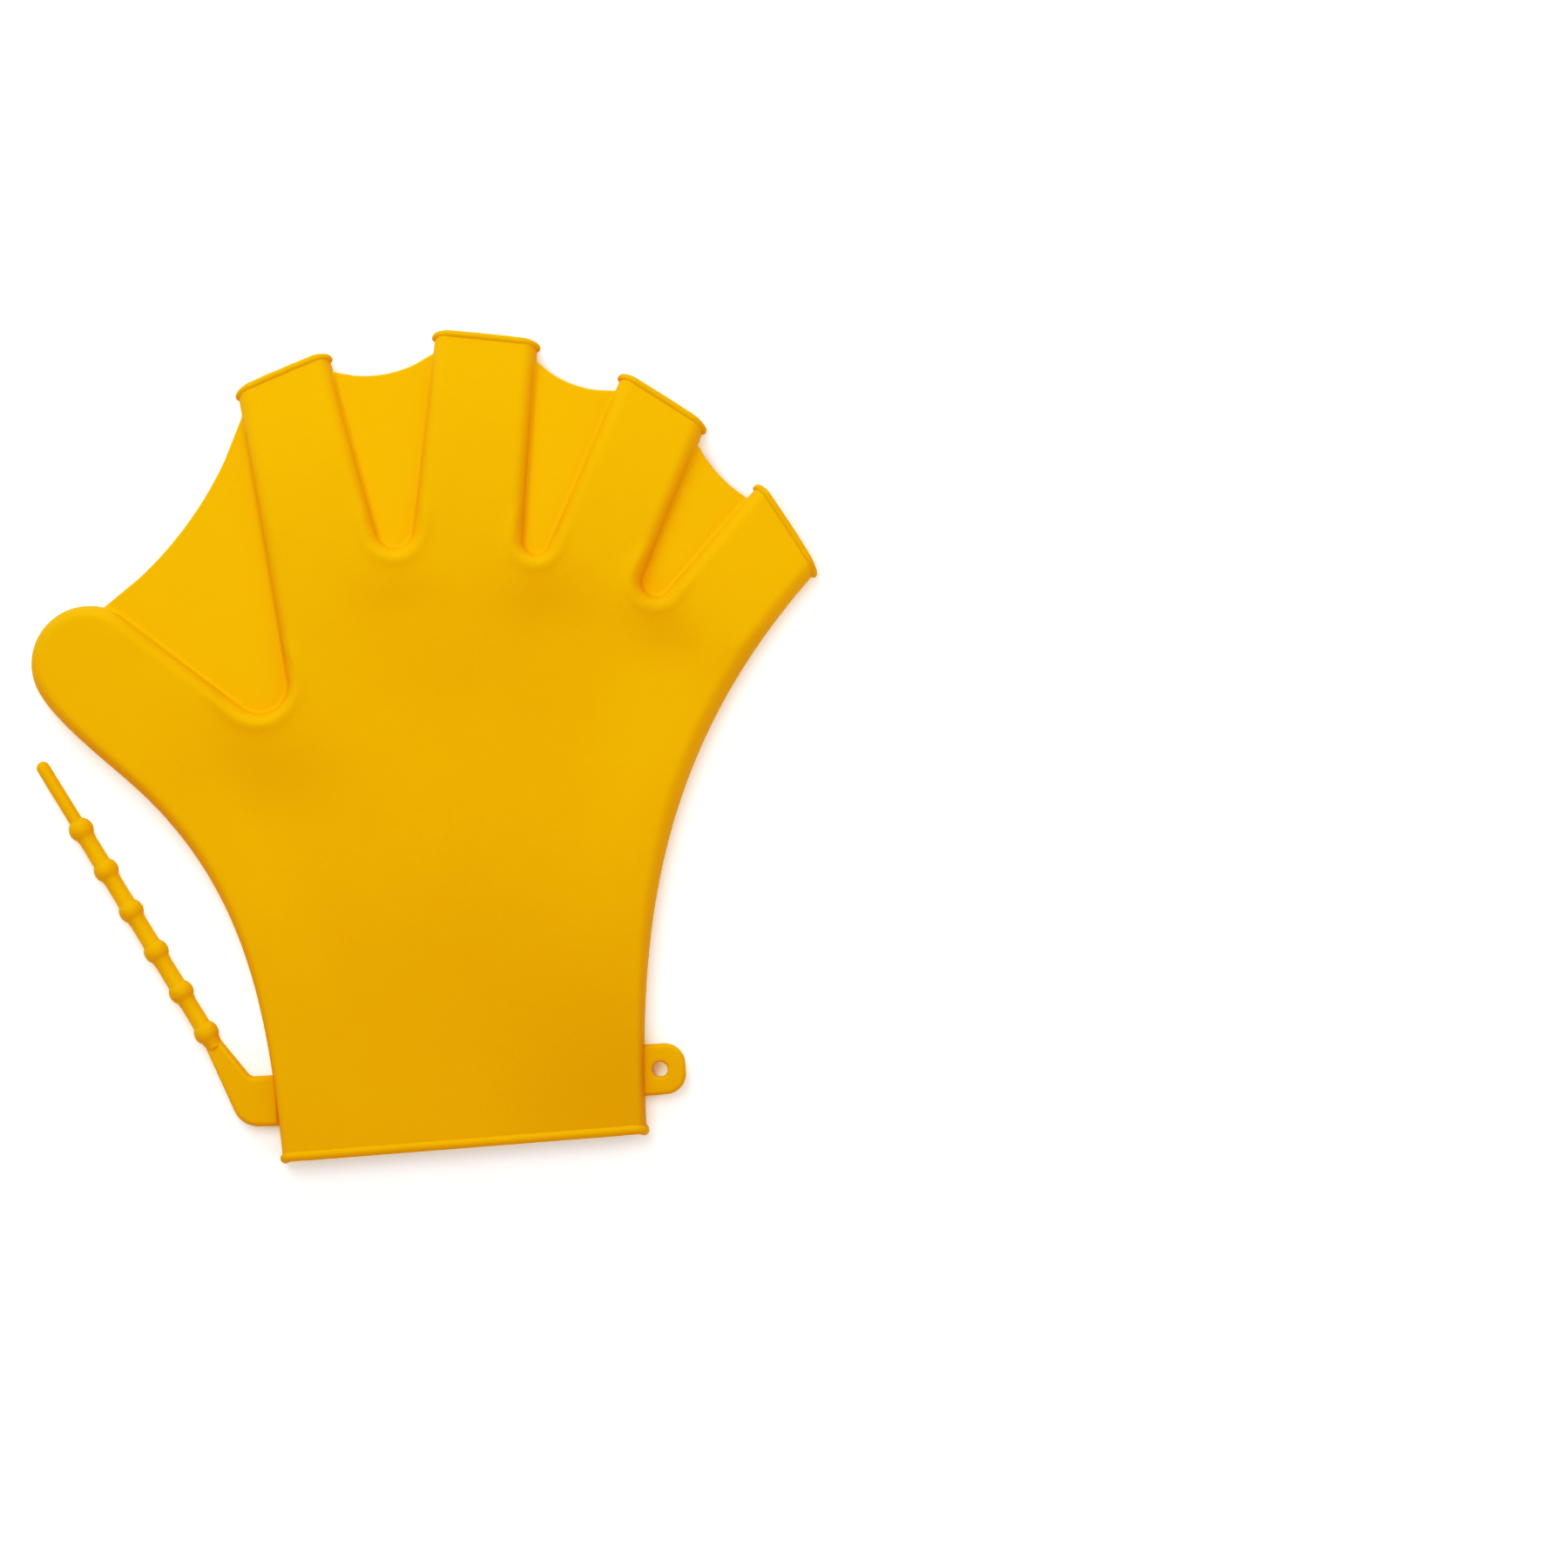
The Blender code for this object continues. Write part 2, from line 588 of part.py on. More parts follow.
def make_glove():
    for obj in list(bpy.data.objects):
        bpy.data.objects.remove(obj, do_unlink=True)
    glove = {"parts": bpy.data.collections.new("webbed_swim_glove"),
             "cutters": bpy.data.collections.new("cutting_blocks"),
             "carrier": bpy.data.objects.new("glove_origin", None)}
    bpy.context.scene.collection.children.link(glove["parts"])
    bpy.context.scene.collection.children.link(glove["cutters"])
    bpy.context.scene.collection.objects.link(glove["carrier"])

    digits = {row.name: digit_corners(row) for row in DIGITS}
    outline = hand_outline(digits)
    surface = hand_surface(outline)
    clearance = block("hand_clearance", grown(outline, PIECE_GAP), glove)

    skin_region("cuff_shell", surface, cuff_zone(glove), glove)
    skin_region("palm_shell", surface, palm_zone(digits, glove), glove)
    for name, digit in digits.items():
        skin_region(name + "_stall", surface, stall_zone(name, digits, glove), glove)
        if name != "thumb":
            stretch = 1 / math.cos(math.radians(digit.row.slant))
            half_width = (digit.end_right - digit.end).length
            rim(name + "_rim", digit.end, digit.mouth, digit.axis, half_width, stretch, HALF_DEPTH,
                LIP, RIM_DIAMETER, glove)
    rim("cuff_rim", Vector((0, 0)), Vector((1, 0)), Vector((0, -1)), CUFF_WIDTH / 2, 1.0,
        CUFF_HALF_DEPTH, CUFF_LIP, CUFF_RIM_DIAMETER, glove)
    for web in WEBS:
        add_web(web, digits, clearance, glove)
    add_tab(clearance, glove)
    add_strap_arm(clearance, glove)
    add_strap(glove)
    centre_on_origin(glove)


make_glove()
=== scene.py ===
import math
from collections import namedtuple

import bmesh
import bpy
from mathutils import Matrix, Vector
from mathutils.kdtree import KDTree


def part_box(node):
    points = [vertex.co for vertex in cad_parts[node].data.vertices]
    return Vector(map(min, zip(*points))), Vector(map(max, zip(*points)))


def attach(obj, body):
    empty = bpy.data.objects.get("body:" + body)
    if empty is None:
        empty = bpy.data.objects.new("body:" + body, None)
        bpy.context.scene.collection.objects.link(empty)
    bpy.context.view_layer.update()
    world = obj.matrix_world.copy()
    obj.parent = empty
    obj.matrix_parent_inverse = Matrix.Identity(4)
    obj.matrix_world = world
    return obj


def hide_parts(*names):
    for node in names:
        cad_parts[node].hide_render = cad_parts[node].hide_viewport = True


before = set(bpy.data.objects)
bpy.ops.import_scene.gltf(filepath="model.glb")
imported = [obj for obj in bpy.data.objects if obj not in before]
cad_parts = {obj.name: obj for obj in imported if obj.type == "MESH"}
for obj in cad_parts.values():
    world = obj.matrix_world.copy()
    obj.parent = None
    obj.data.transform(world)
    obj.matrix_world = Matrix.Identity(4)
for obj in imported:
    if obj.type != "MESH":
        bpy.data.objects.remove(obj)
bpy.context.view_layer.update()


# Plane geometry, shared by all pieces

sharpTurn = 1.0  # radians, from which a corner of an outline counts as sharp


def heading(lean):  # unit vector, degrees from +Y towards +X
    return Vector((math.sin(math.radians(lean)), math.cos(math.radians(lean))))


def turned(vector, degrees):
    return Matrix.Rotation(math.radians(degrees), 2) @ vector


def arcPoints(centre, start, sweep, step=6.0):  # sweep and step in degrees
    steps = max(3, round(abs(sweep) / step))
    return [centre + turned(start - centre, sweep * k / steps) for k in range(steps + 1)]


def smoothRun(start, startLean, end, endLean, handle, steps):
    reach = (end - start).length * handle
    a = start + heading(startLean) * reach
    b = end - heading(endLean) * reach
    points = []
    for k in range(steps + 1):
        t = k / steps
        u = 1 - t
        points.append(start * u ** 3 + a * 3 * u * u * t + b * 3 * u * t * t + end * t ** 3)
    return points


def crossing(p, alongP, q, alongQ):
    return p + alongP * ((q - p).cross(alongQ) / alongP.cross(alongQ))


def filletCentre(p, corner, q, radius):
    toP = (p - corner).normalized()
    toQ = (q - corner).normalized()
    return corner + (toP + toQ).normalized() * radius / math.sin(toP.angle(toQ) / 2)


def filletPoints(p, corner, q, radius):
    centre = filletCentre(p, corner, q, radius)
    half = (p - corner).angle(q - corner) / 2
    start = corner + (p - corner).normalized() * radius / math.tan(half)
    side = 1 if (start - centre).cross(corner - centre) > 0 else -1
    return arcPoints(centre, start, side * (180 - 2 * math.degrees(half)))


def evenly(points, step):  # cuts long edges, but leaves those at sharp corners whole, for the insets
    count = len(points)
    sharp = [(p - points[k - 1]).angle(points[(k + 1) % count] - p) > sharpTurn
             for k, p in enumerate(points)]
    result = []
    for k, point in enumerate(points):
        after = (k + 1) % count
        cuts = math.ceil((points[after] - point).length / step)
        if sharp[k] or sharp[after]:
            cuts = 1
        result += [point.lerp(points[after], n / cuts) for n in range(cuts)]
    return result


def easing(value, low, high):
    share = min(1.0, max(0.0, (value - low) / (high - low)))
    return share * share * (3 - 2 * share)


# Work in the viewport's way: one active object, selections made in code

smoothAngle = 50.0  # degrees, up to which two faces are shaded as one
tiny = 1e-6         # metres, within which two heights or points are the same


def startClean():
    if bpy.context.mode != 'OBJECT':
        bpy.ops.object.mode_set(mode='OBJECT')
    bpy.ops.object.select_all(action='DESELECT')


def flatPiece(name, outline):  # a filled circle with its corners set on the outline
    startClean()
    bpy.ops.mesh.primitive_circle_add(vertices=len(outline), radius=0.05, fill_type='NGON')
    piece = bpy.context.active_object
    piece.name = name
    for corner, point in zip(piece.data.vertices, outline):
        corner.co = (point.x, point.y, 0)
    return piece


def pickFaces(piece, wanted):
    bpy.ops.mesh.select_all(action='DESELECT')
    mesh = bmesh.from_edit_mesh(piece.data)
    for face in mesh.faces:
        if wanted(face):
            face.select_set(True)
    bmesh.update_edit_mesh(piece.data)


def roundEdge(width, height, rings):  # insets that climb as they go in, from the outline to the top
    inwards = 0.0
    upwards = 0.0
    for k in range(1, rings + 1):
        angle = math.pi / 2 * k / rings
        reach = width * (1 - math.cos(angle))
        climb = height * math.sin(angle)
        bpy.ops.mesh.inset(thickness=reach - inwards, depth=climb - upwards,
                           use_boundary=True, use_even_offset=True)
        inwards = reach
        upwards = climb


def gridTop(piece, outline, level, step):  # cuts all that lies above a level into squares
    for axis in range(2):
        normal = [axis == 0, axis == 1, 0]
        values = [point[axis] for point in outline]
        for k in range(math.ceil(min(values) / step), math.ceil(max(values) / step)):
            pickFaces(piece, lambda face: face.calc_center_median().z > level)
            bpy.ops.mesh.bisect(plane_co=[n * k * step for n in normal], plane_no=normal)


def choose(piece):
    startClean()
    bpy.context.view_layer.objects.active = piece
    piece.select_set(True)


def mirrorDown(piece):
    choose(piece)
    mirror = piece.modifiers.new("otherHalf", 'MIRROR')
    mirror.use_axis = (False, False, True)
    mirror.merge_threshold = tiny * 10
    bpy.ops.object.modifier_apply(modifier=mirror.name)
    bpy.ops.object.mode_set(mode='EDIT')
    bpy.ops.mesh.select_all(action='SELECT')
    bpy.ops.mesh.normals_make_consistent(inside=False)
    bpy.ops.object.mode_set(mode='OBJECT')


def setDown(piece, material, *nodes):  # into its place, with its finish, standing for its nodes
    choose(piece)
    piece.location += place
    bpy.ops.object.transform_apply(location=True, rotation=True, scale=True)
    bpy.ops.object.shade_smooth_by_angle(angle=math.radians(smoothAngle))
    piece.data.materials.clear()
    piece.data.materials.append(material)
    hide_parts(*nodes)
    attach(piece, "root")
    print("made", piece.name, len(piece.data.polygons), "faces")


# The silicone

silicone = {
    "colour": "#E2A804",        # the pigment's own colour, under the painted light and painted shade below
    "cloudColour": "#DFA502",   # faint cloudy patches in the pigment
    "thinColour": "#EAAC04",    # painted light: webs, open finger ends and crotch ridges made lighter, for light coming through the wall and for highlights
    "paintedShadeColour": "#D09A02",   # painted shade: patches made darker where shade falls in the palm's hollows and towards the wrist
    "cloudSize": 0.012,
    "refraction": 1.41,         # silicone rubber
    "roughness": 0.58,          # fine blasted mould, so a broad satin sheen and no glints
    "shine": 0.25,              # half of what a polished mould gives
    "shineTint": "#F0A800",     # the pigment colours what little the surface reflects
    "grainSize": 0.00045,       # grain of the blasted mould
    "grainDepth": 0.00002,
    "glow": 0.06,               # light that enters the rubber and comes out beside
    "glowReach": 0.002,
    "glowSpread": (1.0, 0.7, 0.2),    # red goes furthest through the pigment, blue least
}


def linear(hexColour):  # sRGB to the renderer's linear colours
    parts = [int(hexColour[k:k + 2], 16) / 255 for k in (1, 3, 5)]
    return (*[p / 12.92 if p < 0.04045 else ((p + 0.055) / 1.055) ** 2.4 for p in parts], 1)


def addNode(tree, kind, inputs, **settings):
    node = tree.nodes.new(kind)
    for name, value in settings.items():
        setattr(node, name, value)
    for name, value in inputs.items():
        if isinstance(value, bpy.types.NodeSocket):
            tree.links.new(value, node.inputs[name])
        else:
            node.inputs[name].default_value = value
    return node


def mixColours(tree, share, first, second):  # a mix node's colours are at sockets 6 and 7, and 2
    mix = addNode(tree, "ShaderNodeMix", {"Factor": share, 6: first, 7: second}, data_type='RGBA')
    return mix.outputs[2]


def mouldedSilicone():
    # Silicone rubber moulded against blasted steel: even and matt, with soft shading; painted light
    # and painted shade are mixed into its colour
    material = bpy.data.materials.new("moulded_silicone")
    material.use_nodes = True
    tree = material.node_tree
    shader = tree.nodes["Principled BSDF"]
    where = addNode(tree, "ShaderNodeTexCoord", {}).outputs["Object"]
    clouds = addNode(tree, "ShaderNodeTexNoise",
                     {"Vector": where, "Scale": 1 / silicone["cloudSize"], "Detail": 3.0})
    colour = mixColours(tree, clouds.outputs["Fac"], linear(silicone["colour"]),
                        linear(silicone["cloudColour"]))
    # painted light and painted shade, mixed over the pigment by the marks set on each piece
    for name in ("thin", "paintedShade"):
        share = addNode(tree, "ShaderNodeAttribute", {}, attribute_name=name)
        colour = mixColours(tree, share.outputs["Fac"], colour, linear(silicone[name + "Colour"]))
    tree.links.new(colour, shader.inputs["Base Color"])
    grain = addNode(tree, "ShaderNodeTexNoise",
                    {"Vector": where, "Scale": 1 / silicone["grainSize"], "Detail": 2.0})
    bump = addNode(tree, "ShaderNodeBump",
                   {"Height": grain.outputs["Fac"], "Strength": 1.0,
                    "Distance": silicone["grainDepth"]})
    tree.links.new(bump.outputs["Normal"], shader.inputs["Normal"])
    shader.inputs["Roughness"].default_value = silicone["roughness"]
    shader.inputs["IOR"].default_value = silicone["refraction"]
    shader.inputs["Specular IOR Level"].default_value = silicone["shine"]
    shader.inputs["Specular Tint"].default_value = linear(silicone["shineTint"])
    shader.inputs["Subsurface Weight"].default_value = silicone["glow"]
    shader.inputs["Subsurface Radius"].default_value = silicone["glowSpread"]
    shader.inputs["Subsurface Scale"].default_value = silicone["glowReach"]
    return material


def markPaintedLightAndShade(piece, shareAt):  # painted light (positive share) and painted shade (negative share), point by point
    thin = piece.data.attributes.new("thin", 'FLOAT', 'POINT')
    paintedShade = piece.data.attributes.new("paintedShade", 'FLOAT', 'POINT')
    for v in piece.data.vertices:
        share = shareAt(v.co)
        thin.data[v.index].value = max(0.0, share)
        paintedShade.data[v.index].value = max(0.0, -share)


siliconeFinish = mouldedSilicone()


# The hand: palm, cuff, fingers and thumb are one hollow skin

hand = {
    "cuffWidth": 0.0954,
    "cuffLength": 0.0450,        # wrist edge to where the palm solid begins
    "palmWidth": 0.1000,
    "palmLength": 0.1570,
    "stallReach": 0.0523,
    "stallWidth": 0.0269,
    "halfDepth": 0.0052,         # from the knuckles to the finger ends
    "cuffHalfDepth": 0.0046,
    "deepFrom": 0.70,            # where the depth is full, as a share of the palm's length
    "cuffFold": 0.0018,          # width of the rounded side at the wrist
    "leftFold": 0.0034,          # along the palm's two sides
    "rightFold": 0.0043,
    "fingerFold": 0.0037,        # and along the fingers
    "sideFoldOver": (0.020, 0.090),    # stretches of the hand's length over which the fold's width
    "fingerFoldOver": (0.115, 0.150),  # changes from one to the next
    "fingerSink": 0.20,          # how much less the fingers' backs rise than the hollow is deep
    "sinkOver": (0.100, 0.160),
    "ridgeHeight": 0.0005,       # soft ridge round each crotch, with its crest this far in
    "ridgeInset": 0.0030,
    "ridgeWidth": 0.0024,
    "ridgeReach": 0.0075,        # how far from the round of the crotch it has died out
    "ridgeFull": 0.55,           # the share of that reach over which it keeps its height
    "crotchPaintedLight": (0.0010, 0.0034),    # painted highlight round each crotch: full out to the first distance, gone at the second
    "tipPaintedLight": 0.85,             # painted light at an open finger's end, for light that enters its opening, and how far down it shows
    "tipPaintedLightReach": 0.055,
    "wall": 0.0012,
    "crotchRadius": 0.0035,
    "lip": 0.0016,               # how far the middle of a finger's lips reaches past its corners
    "lipLength": 0.009,          # length of finger that is stretched for it
    "cuffLip": -0.0008,          # at the wrist the lips are set back
    "cuffLipLength": 0.010,
    "mouthHalfWidth": 0.018,     # what is this near to a finger's middle line is part of that finger
    "mouthDepth": 0.020,         # the end of a finger, whose points follow its lips
    "cutDepth": 0.012,           # faces from here on are cut where a finger or the cuff ends
    "tipSweep": 159.0,           # degrees of the thumb's round end
    "flank": (-0.795, 0.643, -44.0),    # place and lean where the palm's side runs into the thumb
    "cuffLean": 1.5,
    "littleSideLean": 46.0,
    "leftHandle": 0.375,         # handles of the side curves, as shares of their span
    "thumbHandle": 0.27,
    "rightHandle": 0.380,
    "leftSteps": 44,
    "thumbSteps": 20,
    "rightSteps": 60,
    "pastMouth": 0.014,          # how far the outline runs on before the openings are cut
    "outlineStep": 0.0022,
    "sideRings": 12,
    "gridStep": 0.0022,
}

Digit = namedtuple("Digit", "name across along lean reach rootWidth endWidth slant")
digitTable = (
    Digit("thumb", -0.597, 0.675, -46.1, 0.750, 1.240, 1.130, 0.0),
    Digit("index", -0.250, 1.019, -8.3, 0.843, 1.110, 0.945, 10.1),
    Digit("middle", 0.132, 1.000, 9.7, 1.000, 1.090, 1.000, -0.4),
    Digit("ring", 0.455, 0.943, 27.3, 0.880, 0.980, 0.940, -9.3),
    Digit("little", 0.711, 0.813, 44.0, 0.688, 1.040, 0.970, -16.8),
)
# the last column is how much painted light each web gets, for light coming through the single sheet
Web = namedtuple("Web", "name left right radius leftEnd rightEnd sag thin")
webTable = (
    Web("thumb_index_web", "thumb", "index", 2.09, 1.17, 0.880, 0.078, 0.65),
    Web("index_middle_web", "index", "middle", 1.31, 0.925, 0.925, 0.110, 0.85),
    Web("middle_ring_web", "middle", "ring", 0.92, 0.935, 0.930, 0.100, 1.00),
    Web("ring_little_web", "ring", "little", 1.00, 0.910, 0.910, 0.060, 1.00),
)
Spot = namedtuple("Spot", "name across along lean length width share")
paintedLightAndShadeSpots = (  # painted light where the share is positive, painted shade where it is negative
    Spot("little finger's side of the palm", 0.545, 0.62, 25, 0.036, 0.012, 0.45),
    Spot("side below the thumb", -0.475, 0.47, -20, 0.030, 0.007, 0.25),
    Spot("below the thumb's web", -0.44, 0.66, 110, 0.022, 0.013, -0.50),
    Spot("below the index finger's crotch", -0.065, 0.925, 90, 0.012, 0.006, -0.35),
    Spot("below the middle finger's crotch", 0.33, 0.90, 90, 0.014, 0.008, -0.45),
    Spot("below the ring finger's crotch", 0.64, 0.83, 130, 0.013, 0.009, -0.75),
    Spot("palm towards the fingers", 0.12, 0.81, 95, 0.042, 0.022, -0.36),
    Spot("heel of the hand", 0.05, 0.30, 90, 0.050, 0.028, -0.25),
    Spot("wrist on the little finger's side", 0.40, 0.07, 90, 0.026, 0.026, -0.55),
)
Corners = namedtuple("Corners", "row root end axis mouth rootLeft rootRight endLeft endRight")


def digitCorners(row):
    axis = heading(row.lean)
    across = heading(row.lean + 90)
    mouth = heading(row.lean + 90 - row.slant)
    root = Vector((row.across * hand["palmWidth"], row.along * hand["palmLength"]))
    end = root + axis * row.reach * hand["stallReach"]
    rootHalf = row.rootWidth * hand["stallWidth"] / 2
    endHalf = row.endWidth * hand["stallWidth"] / 2 / math.cos(math.radians(row.slant))
    return Corners(row, root, end, axis, mouth, root - across * rootHalf,
                   root + across * rootHalf, end - mouth * endHalf, end + mouth * endHalf)


digits = {row.name: digitCorners(row) for row in digitTable}


def crotch(web):  # the corner between two digits, with the points that its edges run towards
    left = digits[web.left]
    right = digits[web.right]
    corner = crossing(left.rootRight, left.endRight - left.rootRight,
                      right.rootLeft, right.endLeft - right.rootLeft)
    return left.endRight, corner, right.endLeft


def handOutline():
    thumb = digits["thumb"]
    little = digits["little"]
    cuffHalf = hand["cuffWidth"] / 2
    past = hand["pastMouth"]
    tipStart = thumb.end + turned(thumb.endRight - thumb.end, hand["tipSweep"])
    across, along, lean = hand["flank"]
    flank = Vector((across * hand["palmWidth"], along * hand["palmLength"]))
    points = [Vector((cuffHalf, -past)), Vector((-cuffHalf, -past))]
    points += smoothRun(Vector((-cuffHalf, 0)), -hand["cuffLean"], flank, lean,
                        hand["leftHandle"], hand["leftSteps"])
    points += smoothRun(flank, lean, tipStart, thumb.row.lean + 180 - hand["tipSweep"],
                        hand["thumbHandle"], hand["thumbSteps"])[1:]
    points += arcPoints(thumb.end, tipStart, -hand["tipSweep"])[1:]
    for web in webTable:
        digit = digits[web.right]
        points += filletPoints(*crotch(web), web.radius * hand["crotchRadius"])
        points += [digit.endLeft, digit.endLeft + digit.axis * past,
                   digit.endRight + digit.axis * past]
        if digit is not little:
            points.append(digit.endRight)
    points += reversed(smoothRun(Vector((cuffHalf, 0)), hand["cuffLean"], little.endRight,
                                 hand["littleSideLean"], hand["rightHandle"],
                                 hand["rightSteps"]))
    points.reverse()
    return points


def halfDepth(y):
    share = easing(y, hand["cuffLength"] / 2, hand["deepFrom"] * hand["palmLength"])
    return hand["cuffHalfDepth"] + (hand["halfDepth"] - hand["cuffHalfDepth"]) * share


def foldWidth(x, y):
    side = hand["leftFold"] if x < 0 else hand["rightFold"]
    width = hand["cuffFold"] + (side - hand["cuffFold"]) * easing(y, *hand["sideFoldOver"])
    return width + (hand["fingerFold"] - width) * easing(y, *hand["fingerFoldOver"])


def handHeight(x, y, inset):  # of the upper side over the middle of the hand's depth
    return halfDepth(y) * math.sqrt(1 - max(0.0, 1 - inset / foldWidth(x, y)) ** 2)


def pastCrotch(point):  # distance to the round of the nearest crotch
    nearest = 1.0
    for web in webTable:
        radius = web.radius * hand["crotchRadius"]
        nearest = min(nearest, (point.xy - filletCentre(*crotch(web), radius)).length - radius)
    return nearest


def ridge(point, inset):
    off = (inset - hand["ridgeInset"]) / hand["ridgeWidth"]
    near = 1 - easing(pastCrotch(point), hand["ridgeReach"] * hand["ridgeFull"], hand["ridgeReach"])
    return hand["ridgeHeight"] * math.exp(-off * off) * near


def atMouth(point, digit, depth):  # in the last stretch of an open finger, or past it
    out = point.xy - digit.end
    near = out.dot(digit.axis) > -depth and abs(out.dot(digit.mouth)) < hand["mouthHalfWidth"]
    return near and digit.row.name != "thumb"


# painted highlight round the crotches, painted light at the open finger ends, and the painted light
# and shade spots
def skinPaintedLightAndShade(point):
    share = 1 - easing(pastCrotch(point), *hand["crotchPaintedLight"])
    for digit in digits.values():
        if atMouth(point, digit, hand["tipPaintedLightReach"]):
            out = (point.xy - digit.end).dot(digit.axis)
            share = max(share, hand["tipPaintedLight"] * easing(out, -hand["tipPaintedLightReach"], 0.0))
    for spot in paintedLightAndShadeSpots:
        middle = Vector((spot.across * hand["palmWidth"], spot.along * hand["palmLength"]))
        along = (point.xy - middle).dot(heading(spot.lean)) / spot.length
        across = (point.xy - middle).dot(heading(spot.lean + 90)) / spot.width
        share += spot.share * math.exp(-along * along - across * across)
    return share


def cutMouth(skin, digit):  # opens a finger past its end
    pickFaces(skin, lambda face: atMouth(face.calc_center_median(), digit, hand["cutDepth"]))
    across = heading(digit.row.lean + 90 - digit.row.slant)
    outwards = Vector((-across.y, across.x))
    bpy.ops.mesh.bisect(plane_co=(*digit.end, 0), plane_no=(*outwards, 0), clear_outer=True)


def makeSkin():
    outline = evenly(handOutline(), hand["outlineStep"])
    skin = flatPiece("hand_skin", outline)
    bpy.ops.object.mode_set(mode='EDIT')
    bpy.ops.mesh.select_mode(type='FACE')
    bpy.ops.mesh.select_all(action='SELECT')
    deep = hand["halfDepth"]
    inwards = 0.0
    for k in range(1, hand["sideRings"] + 1):  # each ring is as high as it is far in, for now
        inset = deep * (1 - math.cos(math.pi / 2 * k / hand["sideRings"]))
        bpy.ops.mesh.inset(thickness=inset - inwards, depth=inset - inwards,
                           use_boundary=True, use_even_offset=True)
        inwards = inset
    gridTop(skin, outline, deep - tiny, hand["gridStep"])
    mirrorDown(skin)

    edge = KDTree(len(outline))
    for k, point in enumerate(outline):
        edge.insert((point.x, point.y, 0), k)
    edge.balance()
    for v in skin.data.vertices:
        inset = abs(v.co.z)
        if inset > deep - tiny:
            inset = max(deep, edge.find((v.co.x, v.co.y, 0))[2])
        height = handHeight(v.co.x, v.co.y, inset)
        if v.co.z > 0:
            height *= 1 - hand["fingerSink"] * easing(v.co.y, *hand["sinkOver"])
            height += ridge(v.co, edge.find((v.co.x, v.co.y, 0))[2])
        v.co.z = halfDepth(v.co.y) + math.copysign(height, v.co.z)

    bpy.ops.object.mode_set(mode='EDIT')
    bpy.ops.mesh.select_mode(type='FACE')
    for digit in digits.values():
        if digit.row.name != "thumb":
            cutMouth(skin, digit)
    pickFaces(skin, lambda face: face.calc_center_median().y < hand["cutDepth"])
    bpy.ops.mesh.bisect(plane_co=(0, 0, 0), plane_no=(0, -1, 0), clear_outer=True)
    bpy.ops.object.mode_set(mode='OBJECT')
    for v in skin.data.vertices:
        v.co.xy += lipShift(v.co)
    return skin


def lipShift(point):  # the middle of each lip reaches further than its side corners
    for digit in digits.values():
        if atMouth(point, digit, hand["mouthDepth"]):
            out = (point.xy - digit.end).dot(digit.axis)
            bow = min(1.0, abs(point.z - hand["halfDepth"]) / hand["halfDepth"])
            return digit.axis * hand["lip"] * bow * easing(out, -hand["lipLength"], 0.0)
    bow = min(1.0, abs(point.z - hand["cuffHalfDepth"]) / hand["cuffHalfDepth"])
    return Vector((0, -1)) * hand["cuffLip"] * bow * easing(-point.y, -hand["cuffLipLength"], 0.0)


def giveWall(skin):
    choose(skin)
    wall = skin.modifiers.new("wall", 'SOLIDIFY')
    wall.thickness = hand["wall"]
    wall.offset = -1
    wall.use_even_offset = True
    bpy.ops.object.modifier_apply(modifier=wall.name)


# Rims: a bead runs round each opening, on the edge of the wall

rims = {
    "fingerBead": 0.0019,        # diameter
    "cuffBead": 0.0027,
    "cornerOut": 0.0005,         # how far a finger's bead swells at the two corners of its mouth
    "cornerFrom": 0.85,          # as a share of the way from the middle to a corner
    "step": 0.0006,
    "roundness": 9,
}


def takeOpenings(skin):  # copies of the five open edges, each its own piece
    choose(skin)
    bpy.ops.object.mode_set(mode='EDIT')
    bpy.ops.mesh.select_mode(type='EDGE')
    bpy.ops.mesh.select_all(action='DESELECT')
    bpy.ops.mesh.select_non_manifold()
    bpy.ops.mesh.duplicate()
    bpy.ops.mesh.separate(type='SELECTED')
    bpy.ops.object.mode_set(mode='OBJECT')
    choose([piece for piece in bpy.context.selected_objects if piece is not skin][0])
    bpy.ops.mesh.separate(type='LOOSE')
    return list(bpy.context.selected_objects)


def walkEvenly(curve, step):  # puts even steps along the loop, whose points lie as the cuts left them
    corners = [point.co.xyz for point in curve.splines[0].points]
    corners.append(corners[0])
    reached = [0.0]
    for a, b in zip(corners, corners[1:]):
        reached.append(reached[-1] + (b - a).length)
    count = round(reached[-1] / step)
    curve.splines.clear()
    spline = curve.splines.new('POLY')
    spline.points.add(count - 1)
    spline.use_cyclic_u = True
    k = 0
    for n in range(count):
        way = reached[-1] * n / count
        while reached[k + 1] < way:
            k += 1
        share = (way - reached[k]) / (reached[k + 1] - reached[k])
        spline.points[n].co = (*corners[k].lerp(corners[k + 1], share), 1)


